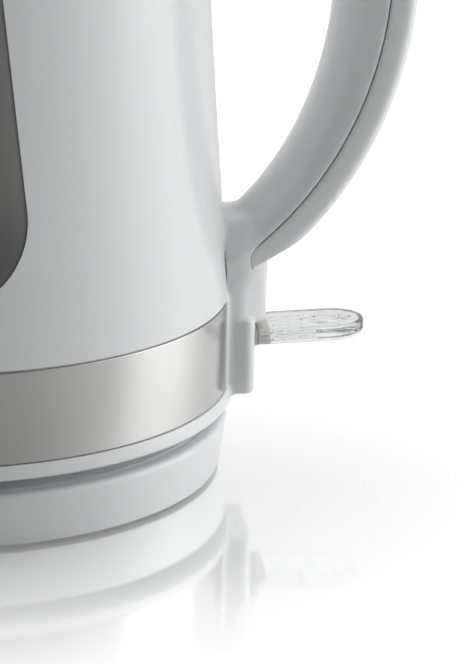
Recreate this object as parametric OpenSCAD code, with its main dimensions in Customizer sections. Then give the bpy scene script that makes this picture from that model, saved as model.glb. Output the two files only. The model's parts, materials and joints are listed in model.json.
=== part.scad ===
// Cordless electric jug kettle on its round power base.
// +Z is up, +X points to the handle, and the origin is the middle of the feet's underside.

/* [Power base] */
// Height of the rubber foot ring below the base shell
foot_h = 1; // [0.6:0.1:2]
// How far the rubber foot ring lies inside the shell's lower edge
foot_in = 6; // [4:0.5:14]
// Width of the rubber foot ring
foot_w = 8; // [4:0.5:12]
// Radius of the base shell at its lower edge
base_low_r = 76; // [74:0.5:77]
// Radius of the base shell at its deck
base_top_r = 78; // [76.5:0.5:79]
// Height of the base shell
base_h = 13.8; // [12:0.2:20]
// Wall of the base shell
base_wall = 2.2; // [1.6:0.1:3]
// Outer radius of the connector tower
tower_r = 17.5; // [15:0.5:18]
// Height of the connector tower above the deck
tower_h = 14.6; // [12:0.2:16]
// Radius of the centre contact pin
pin_r = 2.25; // [1.5:0.05:2.6]
// Bore of the mains lead's gland
gland_bore_r = 3.2; // [2.5:0.1:3.4]

/* [Jug] */
// Width of the gap between the base deck and the jug's lower ring
plinth_gap = 4.2; // [3:0.2:6]
// Radius of the lower ring at its bottom edge
ring_r = 79.2; // [78.8:0.1:82]
// Height of the lower ring
ring_h = 3.7; // [3:0.1:8]
// Outer radius of the steel band
band_r = 78; // [77.6:0.1:78.4]
// Height of the steel band
band_h = 24; // [18:0.5:28]
// Thickness of the steel band
band_t = 0.7; // [0.4:0.1:1]
// How far the jug's rim lies inside the band
rim_in = 11; // [9:0.5:11.5]
// Height of the jug's rim above the table
rim_z = 229; // [226:0.5:232]
// How far the jug's side bows inward of a straight line
side_bow = 1.25; // [0.8:0.05:2]
// Wall of the jug
wall = 2.4; // [1.8:0.1:2.8]
// Reach of the spout's tip beyond the rim
spout_out = 24; // [17:1:27]
// Height of the spout's root above the table
spout_root_z = 182; // [170:1:195]

/* [Water windows] */
// Radius of the window's round lower end
window_low_r = 21.6; // [16:0.2:24]
// Radius of the window's round upper end
window_top_r = 9; // [6:0.5:11]
// Height of the centre of the lower end
window_low_z = 83.2; // [78:0.5:88]
// Height of the centre of the upper end
window_top_z = 198; // [160:1:200]
// Thickness of the window
window_t = 2; // [1.5:0.1:2.2]

/* [Handle] */
// Half width of the grip
grip_w = 12.5; // [11:0.25:13]
// Wall of the handle's two shells
grip_wall = 2.2; // [1.8:0.1:2.6]
// Half width of the switch housing
housing_w = 14; // [13:0.25:15]
// How far the housing's upper front stands out from the band
housing_out = 9.75; // [9:0.25:13]
// How far the housing's lower front stands out from the band
housing_low_out = 6.3; // [6:0.1:9]
// Height of the housing's underside above the table
housing_z0 = 20.2; // [20:0.2:23]
// Height of the joint between housing and grip
housing_top_z = 60; // [58:0.5:62]

/* [Switch lever] */
// Length of the lever from its pivot to its tip
lever_l = 32.7; // [26:0.1:35]
// Width of the lever
lever_w = 18; // [14:0.5:20]
// Thickness of the lever
lever_t = 4.4; // [3.5:0.1:4.6]
// Upward tilt of the lever in its off position
lever_tilt = 2.8; // [1:0.1:4]
// Height of the lever's pivot above the table
lever_z = 34; // [33:0.1:36]
// How far the lever's pivot stands out from the band
lever_out = 4.2; // [4.1:0.1:4.5]
// Radius of the lever's pivot pin
lever_pin_r = 1.2; // [1:0.05:1.4]

/* [Lid] */
// Rise of the lid's dome above its edge
dome_h = 5; // [3:0.25:7]
// Wall of the lid's shells
lid_wall = 2; // [1.6:0.1:2.4]
// Distance of the lid's hinge in from the rim
hinge_in = 17; // [16:0.5:19]
// Radius of the lid's hinge barrel
barrel_r = 7; // [6:0.25:7.25]
// Half length of the lid's hinge barrel
barrel_l = 28.5; // [24:0.5:29]
// Radius of the lid's hinge pin
hinge_pin_r = 1.5; // [1.2:0.05:2]
// How far the lid's pan lies inside the rim
pan_in = 17; // [17:0.5:21]

/* [Lid release] */
// Half width of the release button
button_w = 6.5; // [5:0.25:8]
// How far the release button stands proud of the handle
button_proud = 0.8; // [0.4:0.1:1.5]
// Travel of the release button and of the latch bolt
button_travel = 2.5; // [2:0.1:2.6]

/* [Hidden] */

$fn = 96;
eps = 0.01;
fit_gap = 0.1;    // between pieces that sit against each other
soft_gap = 0.3;   // between pieces that move past each other
run_gap = 0.06;   // a pin's running clearance in its bore
big = 400;

// Heights of the main joints between pieces, from the table up
deck_z = foot_h + base_h;
ring_z = deck_z + plinth_gap;
band_z = ring_z + ring_h;
side_z = band_z + band_h;
inner_plate_z = 44.5;
plate_t = 1.5;
cover_floor_t = 2.2;
hinge_z = rim_z - 3.5;

// Distances from the axis of the pieces that follow the band, the rim or the base's edge
rim_r = band_r - rim_in;
foot_r = base_low_r - foot_in;
housing_x = band_r + housing_out;
housing_low_x = band_r + housing_low_out;
lever_x = band_r + lever_out;
hinge_x = rim_r - hinge_in;
pan_r = rim_r - pan_in;

// The jug's side is one arc from the band's top edge to the rim, hollow by side_bow.
side_r = band_r - 0.1;
chord = norm([side_r - rim_r, rim_z - side_z]);
bow_r = chord * chord / (8 * side_bow) + side_bow / 2;
mid_side = [(side_r + rim_r) / 2, (side_z + rim_z) / 2];
out_dir = [rim_z - side_z, side_r - rim_r] / chord;
bow_c = mid_side + out_dir * (bow_r - side_bow);
function side_at(z) = bow_c[0] - sqrt(bow_r * bow_r - (z - bow_c[1]) * (z - bow_c[1]));

// The handle's side view: three ellipses, of its inner edge, its seam and its outer edge.
grip_mid_z = rim_z - 94;
inner_c = [band_r - 35, grip_mid_z - 2];
inner_a = [61.7, 80];
seam_c = [band_r - 48.7, grip_mid_z];
seam_a = [89, 95];
outer_c = [band_r - 41.8, grip_mid_z];
outer_a = [90, 100];
function on_ellipse(c, a, t) = [c[0] + a[0] * cos(t), c[1] + a[1] * sin(t)];
function outer_z(x) = outer_c[1] + outer_a[1] * sqrt(1 - pow((x - outer_c[0]) / outer_a[0], 2));
frame_t0 = -63;
frame_t1 = 76;
cover_t0 = -57;
grip_steps = 30;
section_steps = 12;

function arc(c, r, a0, a1, n) = [for (i = [0:n]) let (a = a0 + (a1 - a0) * i / n)
  [c[0] + r * cos(a), c[1] + r * sin(a)]];
function sgn_pow(v, p) = sign(v) * pow(abs(v), p);

// One side of a handle section: from the seam at +y, over the crown, to the seam at -y.
function crown(w, d, p_side, p_top, n) = [for (i = [0:n]) let (a = 90 - 180 * i / n)
  [w * sgn_pow(sin(a), p_side), d * pow(max(cos(a), 0), p_top)]];

// A channel swept between two curves: root is its open edge, tip is its crown.
function channel_ring(root, tip, w, wall_t, p_side, p_top) =
  let (d = norm(tip - root), e = (tip - root) / d,
       outer = crown(w, d, p_side, p_top, section_steps),
       inner = crown(w - wall_t, d - wall_t, p_side, p_top, section_steps))
  [for (q = concat(outer, [for (i = [section_steps:-1:0]) inner[i]]))
    [root[0] + e[0] * q[1], q[0], root[1] + e[1] * q[1]]];

// Skins rings of equal length; the ends are strips between the outer and the inner half.
module skin(rings) {
  m = len(rings[0]);
  half = m / 2;
  last = (len(rings) - 1) * m;
  sides = [for (k = [0:len(rings) - 2], i = [0:m - 1])
    [k * m + i, k * m + (i + 1) % m, (k + 1) * m + (i + 1) % m, (k + 1) * m + i]];
  first_cap = [for (i = [0:half - 2]) [i + 1, i, m - 1 - i, m - 2 - i]];
  last_cap = [for (i = [0:half - 2]) [last + i, last + i + 1, last + m - 2 - i, last + m - 1 - i]];
  polyhedron([for (r = rings) each r], concat(sides, first_cap, last_cap), convexity = 8);
}

// A pipe swept along points in the plane y = 0.
function pipe_dir(pts, k) =
  let (a = pts[max(k - 1, 0)], b = pts[min(k + 1, len(pts) - 1)]) (b - a) / norm(b - a);
function pipe_ring(p, d, r, n) = [for (i = [0:n - 1]) let (a = 360 * i / n, s = r * cos(a))
  [p[0] - d[1] * s, r * sin(a), p[1] + d[0] * s]];

module pipe(pts, r_out, r_in, n) {
  m = len(pts);
  all_in = m * n;
  outer = [for (k = [0:m - 1]) each pipe_ring(pts[k], pipe_dir(pts, k), r_out, n)];
  inner = [for (k = [0:m - 1]) each pipe_ring(pts[k], pipe_dir(pts, k), r_in, n)];
  out_faces = [for (k = [0:m - 2], i = [0:n - 1]) let (j = (i + 1) % n)
    [k * n + i, k * n + j, (k + 1) * n + j, (k + 1) * n + i]];
  in_faces = [for (q = out_faces) [for (i = [3:-1:0]) q[i] + all_in]];
  end = (m - 1) * n;
  first_cap = [for (i = [0:n - 1]) let (j = (i + 1) % n) [j, i, all_in + i, all_in + j]];
  last_cap = [for (i = [0:n - 1]) let (j = (i + 1) % n)
    [end + i, end + j, all_in + end + j, all_in + end + i]];
  polyhedron(concat(outer, inner), concat(out_faces, in_faces, first_cap, last_cap), convexity = 8);
}

module at_circle(n, r, first = 0) {
  for (i = [0:n - 1]) rotate([0, 0, first + 360 * i / n]) translate([r, 0, 0]) children();
}

module tube(r_out, r_in, h) {
  difference() {
    cylinder(r = r_out, h = h);
    translate([0, 0, -eps]) cylinder(r = r_in, h = h + 2 * eps);
  }
}

// A cylinder along Y, centred.
module bar_y(r, l) {
  rotate([90, 0, 0]) cylinder(r = r, h = l, center = true);
}

// A cylinder along +X from its place.
module bar_x(r, l) {
  rotate([0, 90, 0]) cylinder(r = r, h = l);
}

// An outline in x and z, extruded over -w to w in y.
module slab(pts, w) {
  rotate([90, 0, 0]) linear_extrude(2 * w, center = true) polygon(pts);
}

// ---- Power base ----
deck_fillet = 2;
base_hole_r = tower_r + soft_gap;
screw_r = 1.5;
screw_head_r = 2.8;
screw_head_h = 1.4;
head_sunk = 0.2;
screw_l = 7.5;
boss_r = 4;
base_boss_at = foot_r - foot_w - 7;
plate_z = foot_h;
foot_seat = 0.8;

// The gland's flange lies against the inside of the shell's wall.
gland_r = gland_bore_r + 1;
gland_len = 8;
flange_r = gland_r + 0.4;
flange_t = 2.1;
gland_z = plate_z + base_wall + flange_r + fit_gap;
function base_in_r(z) =
  base_low_r - base_wall + (base_top_r - base_low_r) * (z - foot_h) / (base_h - base_wall);
gland_wall_r = min(base_in_r(gland_z - flange_r), base_in_r(gland_z + flange_r));
gland_y = sqrt(gland_wall_r * gland_wall_r - flange_r * flange_r) - flange_t;

module base_shell() {
  top = arc([base_top_r - deck_fillet, deck_z - deck_fillet], deck_fillet, 0, 90, 6);
  in_top = base_top_r - base_wall;
  in_low = base_low_r - base_wall;
  color("whitesmoke") difference() {
    union() {
      rotate_extrude() polygon(concat([[base_low_r, foot_h]], top, [
        [base_hole_r, deck_z], [base_hole_r, deck_z - base_wall],
        [in_top, deck_z - base_wall], [in_low, foot_h]]));
      at_circle(4, base_boss_at, 45) translate([0, 0, plate_z + base_wall + fit_gap])
        cylinder(r = boss_r, h = deck_z - 2 * base_wall - plate_z);
    }
    at_circle(4, base_boss_at, 45) translate([0, 0, plate_z]) cylinder(r = screw_r, h = screw_l + 0.5);
    translate([0, gland_y, gland_z]) rotate([-90, 0, 0]) cylinder(r = gland_r + fit_gap, h = gland_len + 12);
  }
}

module base_plate() {
  color("whitesmoke") difference() {
    translate([0, 0, plate_z]) cylinder(r = base_low_r - base_wall - fit_gap, h = base_wall);
    at_circle(4, base_boss_at, 45) translate([0, 0, plate_z - eps]) {
      cylinder(r = screw_r + fit_gap, h = base_wall + 1);
      cylinder(r = screw_head_r + fit_gap, h = screw_head_h + eps);
    }
    translate([0, 0, plate_z - eps])
      tube(foot_r + fit_gap / 2, foot_r - foot_w - fit_gap / 2, foot_seat + eps);
  }
}

module foot_ring() {
  color("dimgray") tube(foot_r, foot_r - foot_w, foot_h + foot_seat);
}

module base_screws() {
  color("silver") at_circle(4, base_boss_at, 45) translate([0, 0, plate_z + head_sunk]) {
    cylinder(r = screw_head_r, h = screw_head_h - head_sunk);
    cylinder(r = screw_r, h = screw_l);
  }
}

tower_floor_z = deck_z + 1;
tower_wall = 2.5;
tower_flange_w = 5;
tower_flange_t = 2;
tower_z = deck_z - base_wall - tower_flange_t - fit_gap;
tower_top_z = deck_z + tower_h;
centre_boss_r = 5;
centre_boss_z = tower_top_z - 6;
pin_top_z = tower_top_z + 2;
pin_z = deck_z - 6;

module base_connector() {
  color("dimgray") difference() {
    union() {
      translate([0, 0, tower_z]) cylinder(r = tower_r + tower_flange_w, h = tower_flange_t);
      translate([0, 0, tower_z]) cylinder(r = tower_r, h = tower_top_z - tower_z);
    }
    translate([0, 0, tower_floor_z]) tube(tower_r - tower_wall, centre_boss_r, tower_h + 1);
    translate([0, 0, centre_boss_z]) cylinder(r = tower_r - tower_wall, h = tower_h);
    translate([0, 0, pin_z - 4]) cylinder(r = pin_r, h = big);
  }
}

module centre_pin() {
  color("goldenrod") {
    translate([0, 0, pin_z]) cylinder(r = pin_r, h = pin_top_z - pin_z - pin_r);
    translate([0, 0, pin_top_z - pin_r]) sphere(r = pin_r);
  }
}

contact_r = 10;
contact_t = 0.9;
module base_contact_ring() {
  color("goldenrod") translate([0, 0, tower_floor_z + fit_gap])
    tube(contact_r, contact_r - contact_t, tower_h - 4.1);
}

module cord_gland() {
  color("whitesmoke") translate([0, gland_y, gland_z]) rotate([-90, 0, 0]) difference() {
    union() {
      cylinder(r = gland_r, h = gland_len);
      cylinder(r = flange_r, h = flange_t);
    }
    translate([0, 0, -eps]) cylinder(r = gland_bore_r, h = gland_len + 2 * eps);
  }
}

// ---- Jug's half of the connector, the same all round, so that the jug can turn on it ----
socket_in_r = tower_r + 1;
socket_r = socket_in_r + 2.5;
socket_z0 = deck_z + 1;
socket_roof_z = pin_top_z + 2;
socket_roof_t = 2;
ring_contact_l = 9;
pin_contact_l = 6;

module connector_socket() {
  color("dimgray") {
    translate([0, 0, socket_z0]) tube(socket_r, socket_in_r, socket_roof_z - socket_z0 + eps);
    translate([0, 0, socket_roof_z]) tube(socket_r, pin_r + 0.6, socket_roof_t);
  }
}

module socket_contacts() {
  ring_in = contact_r + soft_gap;
  color("goldenrod") {
    translate([0, 0, socket_roof_z - ring_contact_l]) tube(ring_in + contact_t, ring_in, ring_contact_l);
    translate([0, 0, socket_roof_z - pin_contact_l]) tube(pin_r + 1.7, pin_r + soft_gap, pin_contact_l);
  }
}

// ---- Jug ----
control_r = 29;
control_z0 = ring_z + cover_floor_t + fit_gap;
control_top_z = 40;
element_r = 44;
element_wire_r = 3.2;
spreader_t = 2.6;
spreader_z = inner_plate_z - spreader_t;
ledge_r = band_r - 9.5;
ledge_t = 4;
cover_hole_r = socket_r + 0.6;
rest_r = band_r - 14;
rest_w = 4;
pillar_at = ledge_r - 11;
wire_y = 10;
wire_z = 27;
wire_r = 0.5;
bolt_z0 = rim_z - 17;
bolt_t = 3.5;
nose_t = 3;
nose_z0 = rim_z - 10.8;
bolt_w = 5;
spout_tip_r = 5.5;
spout_brow_r = 23;
spout_root_r = 14;

// The jug's outer form from z0 to z1, grown by grow.
module side_solid(grow, z0, z1) {
  steps = 10;
  rotate_extrude() polygon(concat([[0, z0]],
    [for (i = [0:steps]) let (z = z0 + (z1 - z0) * i / steps) [side_at(z) + grow, z]], [[0, z1]]));
}

// The spout's wedge: its root lies on the jug's side, its brow is level with the rim.
module spout_form(inset) {
  over = inset > 0 ? 1 : 0;
  hull() {
    translate([spout_tip_r - rim_r - spout_out, 0, rim_z - 3])
      cylinder(r = spout_tip_r - inset, h = 3 + over, $fn = 32);
    translate([spout_brow_r - rim_r - 2, 0, rim_z - 4])
      cylinder(r = spout_brow_r - inset, h = 4 + over, $fn = 32);
    translate([spout_root_r - rim_r - 1, 0, spout_root_z + inset * 3])
      cylinder(r = spout_root_r - inset, h = 0.2, $fn = 32);
  }
}

module window_prism(grow) {
  // A round lower end and a smaller round upper end, joined by their tangent lines.
  low = window_low_r + grow;
  top = window_top_r + grow;
  span = window_top_z - window_low_z;
  a = asin((low - top) / span);
  rotate([90, 0, 0]) linear_extrude(big, center = true) polygon(concat(
    arc([0, window_low_z], low, 180 - a, 360 + a, 28), arc([0, window_top_z], top, a, 180 - a, 12)));
}

module body_shell() {
  skirt_r = band_r - band_t - fit_gap / 2;
  color("white") difference() {
    union() {
      side_solid(0, side_z + fit_gap / 2, rim_z);
      translate([0, 0, band_z + fit_gap]) cylinder(r = skirt_r, h = band_h);
      spout_form(0);
    }
    side_solid(-wall, inner_plate_z, rim_z + 1);
    translate([0, 0, inner_plate_z]) cylinder(r = skirt_r - wall, h = side_z - inner_plate_z + 0.5);
    cylinder(r = ledge_r, h = inner_plate_z + 1);
    cylinder(r = skirt_r - wall, h = inner_plate_z - ledge_t);
    spout_form(wall);
    window_prism(fit_gap);
    for (s = [-1, 1]) translate([skirt_r - 8, s * wire_y, wire_z]) bar_x(wire_r + 0.5, 12);
    for (z = housing_screw_z) translate([skirt_r - 8, 0, z]) bar_x(screw_r, 12);
    translate([rim_r - 5, -bolt_w - soft_gap, bolt_z0 - soft_gap])
      cube([8, 2 * (bolt_w + soft_gap), nose_z0 + nose_t - bolt_z0 + 2 * soft_gap]);
  }
}

module water_window(side) {
  color([0.42, 0.43, 0.46, 0.8]) intersection() {
    difference() {
      side_solid(0, window_low_z - window_low_r - 4, window_top_z + window_top_r + 4);
      side_solid(-window_t, window_low_z - window_low_r - 5, window_top_z + window_top_r + 5);
    }
    window_prism(0);
    translate([-big / 2, side > 0 ? 0 : -big / 2, 0]) cube([big, big / 2, big]);
  }
}

module water_window_left() {
  water_window(-1);
}

module water_window_right() {
  water_window(1);
}

module steel_band() {
  color("silver") difference() {
    translate([0, 0, band_z]) tube(band_r, band_r - band_t, band_h);
    for (s = [-1, 1]) translate([band_r - 8, s * wire_y, wire_z]) bar_x(wire_r + 0.5, 12);
    for (z = housing_screw_z) if (z < side_z) translate([band_r - 8, 0, z]) bar_x(screw_r + fit_gap, 12);
  }
}

module bottom_cover() {
  lip = 0.6;
  color("whitesmoke") difference() {
    union() {
      rotate_extrude() polygon([
        [cover_hole_r, ring_z], [rest_r - rest_w / 2, ring_z], [rest_r - rest_w / 2, deck_z + fit_gap],
        [rest_r + rest_w / 2, deck_z + fit_gap], [rest_r + rest_w / 2, ring_z], [ring_r - lip, ring_z],
        [ring_r, ring_z + lip], [band_r + 0.3, band_z], [band_r - 6, band_z],
        [band_r - 6, ring_z + cover_floor_t], [cover_hole_r, ring_z + cover_floor_t]]);
    }
    at_circle(3, pillar_at, 60) translate([0, 0, ring_z - eps]) {
      cylinder(r = screw_r + fit_gap, h = cover_floor_t + 1);
      cylinder(r = screw_head_r + fit_gap, h = screw_head_h + eps);
    }
    at_circle(3, control_screw_at, 30) translate([0, 0, ring_z - eps]) {
      cylinder(r = screw_r + fit_gap, h = cover_floor_t + 1);
    }
  }
}

// Three pillars hang from the heat spreader's rim and take the bottom cover's screws.
module cover_screws() {
  color("silver") at_circle(3, pillar_at, 60) translate([0, 0, ring_z + head_sunk]) {
    cylinder(r = screw_head_r, h = screw_head_h - head_sunk);
    cylinder(r = screw_r, h = screw_l + 1.5);
  }
}

module heater_plate() {
  color("silver") translate([0, 0, inner_plate_z + fit_gap])
    cylinder(r = plate_seal_r - 1.6, h = plate_t);
}

plate_seal_r = band_r - band_t - fit_gap / 2 - wall - fit_gap;
module plate_seal() {
  color("lightgray") difference() {
    translate([0, 0, inner_plate_z]) cylinder(r = plate_seal_r, h = plate_t + 1.2);
    translate([0, 0, inner_plate_z - eps])
      cylinder(r = plate_seal_r - 1.6 + fit_gap / 2, h = plate_t + fit_gap + eps);
    translate([0, 0, inner_plate_z]) cylinder(r = plate_seal_r - 4, h = plate_t + 3);
  }
}

pillar_z0 = ring_z + cover_floor_t + fit_gap;
module heat_spreader() {
  color("lightsteelblue") difference() {
    union() {
      translate([0, 0, spreader_z]) cylinder(r = ledge_r - 0.5, h = spreader_t);
      at_circle(3, pillar_at, 60) translate([0, 0, pillar_z0])
        cylinder(r = boss_r, h = spreader_z - pillar_z0 + eps);
    }
    at_circle(3, pillar_at, 60) translate([0, 0, pillar_z0 - eps]) cylinder(r = screw_r, h = 8);
  }
}

module heater_element() {
  tail_r = 1.6;
  color("gray") {
    translate([0, 0, spreader_z - element_wire_r]) rotate([0, 0, 25]) rotate_extrude(angle = 310)
      translate([element_r, 0]) circle(r = element_wire_r);
    for (a = [25, 335]) rotate([0, 0, a]) translate([element_r, 0, spreader_z - element_wire_r - 9])
      cylinder(r = tail_r, h = 9);
  }
}

control_screw_at = 25.5;
module thermostat_control() {
  color("ivory") difference() {
    translate([0, 0, control_z0]) cylinder(r = control_r, h = control_top_z - control_z0);
    translate([0, 0, control_z0 - eps])
      cylinder(r = socket_r + soft_gap, h = socket_roof_z + socket_roof_t + soft_gap - control_z0);
    at_circle(3, control_screw_at, 30) translate([0, 0, control_z0 - eps]) cylinder(r = screw_r, h = 9);
  }
}

module control_screws() {
  color("silver") at_circle(3, control_screw_at, 30) translate([0, 0, ring_z]) {
    translate([0, 0, -1.3]) cylinder(r = screw_head_r, h = 1.3);
    translate([0, 0, -eps]) cylinder(r = screw_r, h = 8);
  }
}

module bimetal_disc() {
  color("silver") translate([0, 0, control_top_z + fit_gap]) {
    cylinder(r = 9, h = 0.8);
    cylinder(r = 3, h = spreader_z - control_top_z - 2 * fit_gap);
  }
}

// ---- Handle and switch housing ----
housing_wall = 2.2;
housing_screw_z = [27.5, 50];
corner_r = 7;
low_corner_r = 3;
hub_r = 2.1;
slot_z0 = lever_z - 4.4;
slot_z1 = lever_z + 4.6;
back_gap = 1.9;    // between the band and the pieces on the housing's back wall

module housing_plan(x1, w, r) {
  // A block whose two front corners are round.
  back_x = band_r - 18;
  square_x = x1 - r;
  translate([back_x, -w]) square([square_x - back_x, 2 * w]);
  translate([back_x, -w + r]) square([x1 - back_x, 2 * (w - r)]);
  for (s = [-1, 1]) translate([square_x, s * (w - r)]) circle(r = r);
}

module switch_housing() {
  inner_w = housing_w - housing_wall;
  back_x = band_r + back_gap - fit_gap;
  r_in = corner_r - housing_wall;
  color("white") difference() {
    union() {
      translate([0, 0, slot_z1 - 1]) linear_extrude(housing_top_z - slot_z1 + 1)
        housing_plan(housing_x, housing_w, corner_r);
      translate([0, 0, housing_z0]) linear_extrude(slot_z1 - housing_z0)
        housing_plan(housing_low_x, housing_w, low_corner_r);
    }
    // the jug's side, the band and the ring that it lies on
    side_solid(fit_gap, side_z - 1, housing_top_z + 1);
    cylinder(r = band_r + fit_gap, h = side_z + 0.5);
    cylinder(r = ring_r + soft_gap, h = ring_z + ring_h + 0.1);
    // the hollow for the steam switch, the lever's rocker and the wires
    difference() {
      union() {
        translate([0, 0, slot_z1 - 2]) linear_extrude(housing_top_z)
          housing_plan(housing_x - housing_wall, inner_w, r_in);
        translate([0, 0, housing_z0 + 2]) linear_extrude(slot_z1 - housing_z0 - 2)
          housing_plan(housing_low_x - housing_wall, inner_w, low_corner_r - housing_wall);
      }
      translate([-big + back_x, -big / 2, 0]) cube([big, big, big]);
    }
    // the lever's slot, its pivot, and the screws and wires through the back
    translate([back_x, -lever_w / 2 - 0.5, slot_z0]) cube([20, lever_w + 1, slot_z1 - slot_z0]);
    translate([lever_x, 0, lever_z]) bar_y(lever_pin_r, 2 * housing_w - 2);
    for (z = housing_screw_z) translate([back_x - 6, 0, z]) bar_x(screw_r + fit_gap, 7);
    for (s = [-1, 1]) translate([back_x - 6, s * wire_y, wire_z]) bar_x(wire_r + 0.5, 7);
  }
}

module housing_screws() {
  head_x = band_r + back_gap;
  color("silver") for (z = housing_screw_z) {
    translate([head_x - screw_l + 1, 0, z]) bar_x(screw_r, screw_l - 0.9);
    translate([head_x, 0, z]) bar_x(screw_head_r, screw_head_h - head_sunk);
  }
}

// The grip's inner shell, from the housing up to the jug's rim.
module handle_frame() {
  rings = [for (k = [0:grip_steps]) let (t = frame_t0 + (frame_t1 - frame_t0) * k / grip_steps)
    channel_ring(on_ellipse(seam_c, seam_a, t), on_ellipse(inner_c, inner_a, t),
      grip_w, grip_wall, 0.75, 0.85)];
  color("white") difference() {
    skin(rings);
    side_solid(fit_gap, housing_top_z - 30, rim_z + 20);
    cylinder(r = 2 * band_r, h = housing_top_z + fit_gap);
  }
}

// The grip's outer cover, with the release button's window.
module handle_cover() {
  seam_gap = 0.25;
  rings = [for (k = [0:grip_steps]) let (t = cover_t0 + (frame_t1 + 8 - cover_t0) * k / grip_steps,
    s = on_ellipse(seam_c, seam_a, t), o = on_ellipse(outer_c, outer_a, t), e = (o - s) / norm(o - s))
    channel_ring(s + e * seam_gap, o, grip_w, grip_wall, 0.5, 0.5)];
  color("white") difference() {
    skin(rings);
    side_solid(fit_gap, housing_top_z - 30, rim_z);
    translate([0, 0, rim_z - eps]) cylinder(r = rim_r + fit_gap, h = 20);
    translate([0, 0, -1]) cylinder(r = 2 * band_r, h = housing_top_z - 7);
    linear_extrude(housing_top_z + fit_gap) housing_plan(housing_x + fit_gap, housing_w + fit_gap, corner_r);
    translate([button_x0 - soft_gap, -button_w - soft_gap, rim_z - 20])
      cube([button_x1 - button_x0 + 2 * soft_gap, 2 * (button_w + soft_gap), 30]);
  }
}

switch_z0 = slot_z1 + 2.7;
switch_h = 5.4;
switch_w = 10.5;
module steam_switch() {
  x0 = band_r + back_gap;
  x1 = housing_x - housing_wall - 0.4;
  cut = 1.8;
  color("ivory") translate([0, 0, switch_z0]) linear_extrude(switch_h) polygon([
    [x0, -switch_w], [x1 - cut, -switch_w], [x1, cut - switch_w],
    [x1, switch_w - cut], [x1 - cut, switch_w], [x0, switch_w]]);
}

module indicator_led() {
  color("orange") translate([lever_x - 1.2, 0, switch_z0 - 1.6]) cylinder(r = 1.2, h = 1.5);
}

tube_r = 1.9;
tube_bore_r = 1.2;
function tube_pt(t) =
  let (i = on_ellipse(inner_c, inner_a, t), s = on_ellipse(seam_c, seam_a, t))
  i + (s - i) / norm(s - i) * (grip_wall + tube_r + 0.5);
module steam_tube() {
  ts = [for (k = [0:22]) -50 + 100 * k / 22];
  foot_x = lever_x + 1;
  pts = concat([[foot_x, switch_z0 + switch_h + fit_gap], [foot_x, housing_top_z - 4]],
    [for (t = ts) tube_pt(t)]);
  color("gainsboro") pipe(pts, tube_r, tube_bore_r, 10);
}

// Two leads from the steam switch down beside the rocker and in to the control.
module switch_wires() {
  x = band_r + back_gap + wire_r;
  color("firebrick") for (s = [-1, 1]) translate([0, s * wire_y, 0]) {
    translate([x, 0, wire_z]) cylinder(r = wire_r, h = switch_z0 - fit_gap - wire_z);
    translate([x, 0, wire_z]) sphere(r = wire_r);
    translate([control_r - 1.2, 0, wire_z]) bar_x(wire_r, x - control_r + 1.2);
  }
}

// ---- Switch lever: an opaque rocker on the pivot, with a clear blade ----
blade_x = lever_x + 3;
module lever_rocker() {
  w = lever_w / 2 - 1;
  color("cornsilk") translate([lever_x, 0, lever_z]) rotate([0, -lever_tilt, 0]) difference() {
    union() {
      bar_y(hub_r, 2 * w);
      translate([0, -w, -lever_t / 2]) cube([blade_x - lever_x, 2 * w, lever_t]);
    }
    bar_y(lever_pin_r + run_gap, 2 * w + 1);
  }
}

module switch_lever() {
  root = blade_x - lever_x + fit_gap;
  w = lever_w / 2;
  round_r = w;
  dish_r = 30;
  dish_depth = 0.6;
  color([0.85, 0.87, 0.87, 0.6]) translate([lever_x, 0, lever_z]) rotate([0, -lever_tilt, 0])
    difference() {
      translate([0, 0, -lever_t / 2]) linear_extrude(lever_t) {
        translate([root, -w]) square([lever_l - root - round_r, lever_w]);
        translate([lever_l - round_r, 0]) circle(r = round_r);
      }
      // the finger pad's shallow dish
      translate([lever_l - 13, 0, lever_t / 2 + dish_r - dish_depth]) sphere(r = dish_r);
    }
}

module lever_pin() {
  color("silver") translate([lever_x, 0, lever_z]) bar_y(lever_pin_r, 2 * housing_w - 2.4);
}

// ---- Lid release: the button's foot wedges the sprung bolt back ----
button_x0 = rim_r + 5;
button_x1 = button_x0 + 15.5;
notch_z = bolt_z0 + 1;
notch_w = 2.5;
bolt_top_z = bolt_z0 + bolt_t;
ramp_x = button_x0 + 3.5;
nose_x = hinge_x + sqrt(barrel_r * barrel_r - pow(hinge_z - nose_z0 - nose_t, 2)) + soft_gap;
bolt_end_x = ramp_x + 4;
spring_x = button_x1 - 2.9;
spring_r = 2.2;
cap_t = 2.4;
spring_seat_z = outer_z(spring_x + spring_r) - cap_t - 0.3;
guide_z = rim_z - 25;
guide_t = 2;

module latch_bolt() {
  color("ivory") slab([
    [nose_x, nose_z0], [rim_r + 3, nose_z0], [rim_r + 3, bolt_z0], [bolt_end_x, bolt_z0],
    [bolt_end_x, bolt_top_z], [ramp_x + bolt_t - 1, bolt_top_z], [ramp_x, notch_z],
    [ramp_x - notch_w, notch_z], [ramp_x - notch_w, bolt_top_z], [rim_r + 3.3, nose_z0 + nose_t],
    [nose_x, nose_z0 + nose_t]], bolt_w);
}

module release_button() {
  edge = [for (i = [0:5]) button_x0 + (button_x1 - button_x0) * i / 5];
  foot_z = bolt_top_z + 0.2;
  foot_x0 = ramp_x + button_travel - notch_w + 0.35;
  tip_x = ramp_x + foot_z - notch_z - 0.15;
  color("lightgray") {
    slab(concat([for (x = edge) [x, outer_z(x) + button_proud]],
      [for (i = [5:-1:0]) [edge[i], outer_z(edge[i]) - cap_t]]), button_w);
    slab([[foot_x0, foot_z], [tip_x, foot_z], [tip_x + 1.5, foot_z + 1.5],
      [tip_x + 1.5, outer_z(tip_x) - cap_t + 0.3], [foot_x0, outer_z(foot_x0) - cap_t + 0.5]], 3);
    translate([spring_x, 0, spring_seat_z])
      cylinder(r = spring_r, h = outer_z(spring_x) - cap_t + 1 - spring_seat_z);
  }
}

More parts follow.
